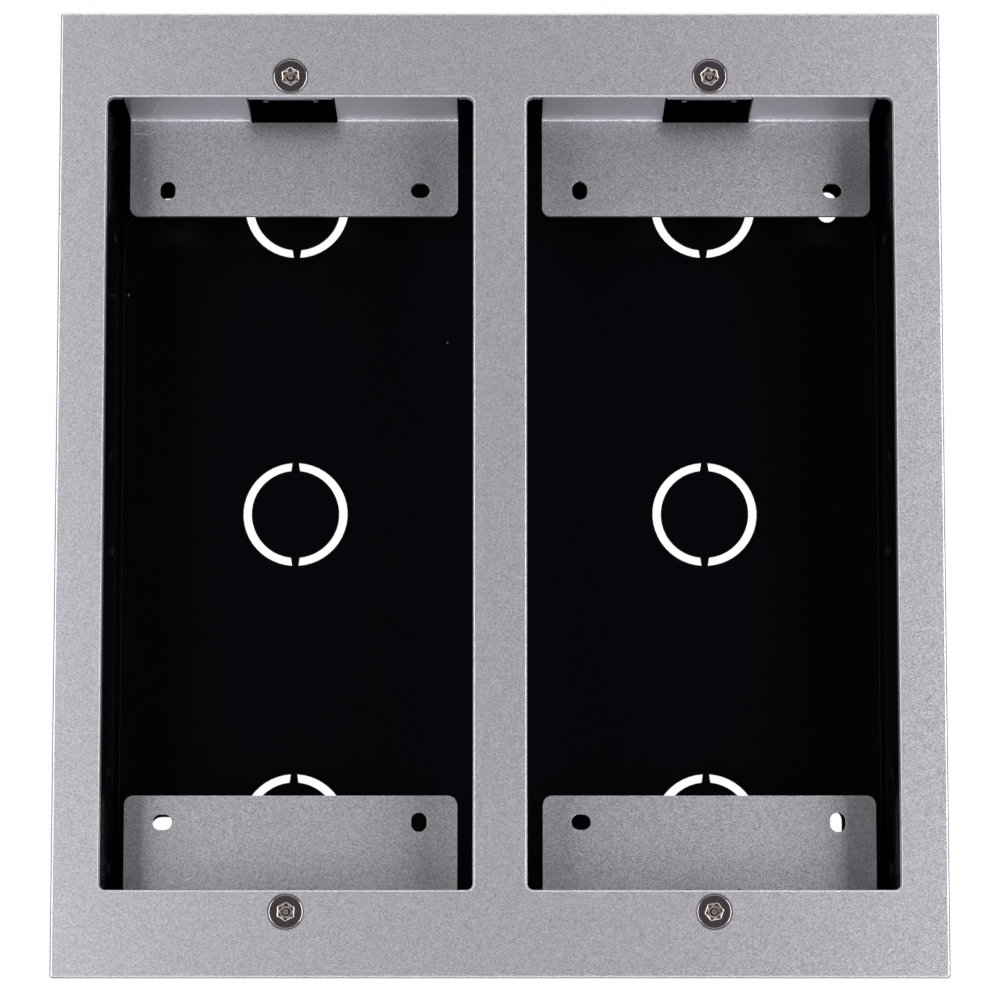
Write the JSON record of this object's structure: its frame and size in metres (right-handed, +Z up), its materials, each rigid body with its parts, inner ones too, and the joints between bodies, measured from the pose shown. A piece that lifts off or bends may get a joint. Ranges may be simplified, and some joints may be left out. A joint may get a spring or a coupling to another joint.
{
  "type": "intercom back box",
  "caption": "Steel back box for an intercom with a silver front frame, module brackets, cable knockouts and security screws.",
  "frame": {"origin": "middle of the back wall's outer face, where the box meets its wall", "axes": "+X to the right seen from the front, +Y into the wall, +Z up; the front frame faces -Y"},
  "size_m": [0.206, 0.0445, 0.2256],
  "materials": {
    "silver_paint": "fine metallic powder coat",
    "black_paint": "fine satin powder coat",
    "zinc_steel": "zinc plated spring steel",
    "screw_steel": "polished stainless steel"
  },
  "bodies": {
    "root": {"front_frame": "silver_paint", "back_box": "black_paint", "bracket_upper_left": "silver_paint", "bracket_upper_right": "silver_paint", "bracket_lower_left": "silver_paint", "bracket_lower_right": "silver_paint", "clip_nut_upper_left": "zinc_steel", "clip_nut_upper_right": "zinc_steel", "clip_nut_lower_left": "zinc_steel", "clip_nut_lower_right": "zinc_steel", "screw_upper_left": "screw_steel", "screw_upper_right": "screw_steel", "screw_lower_left": "screw_steel", "screw_lower_right": "screw_steel"}
  },
  "joints": []
}
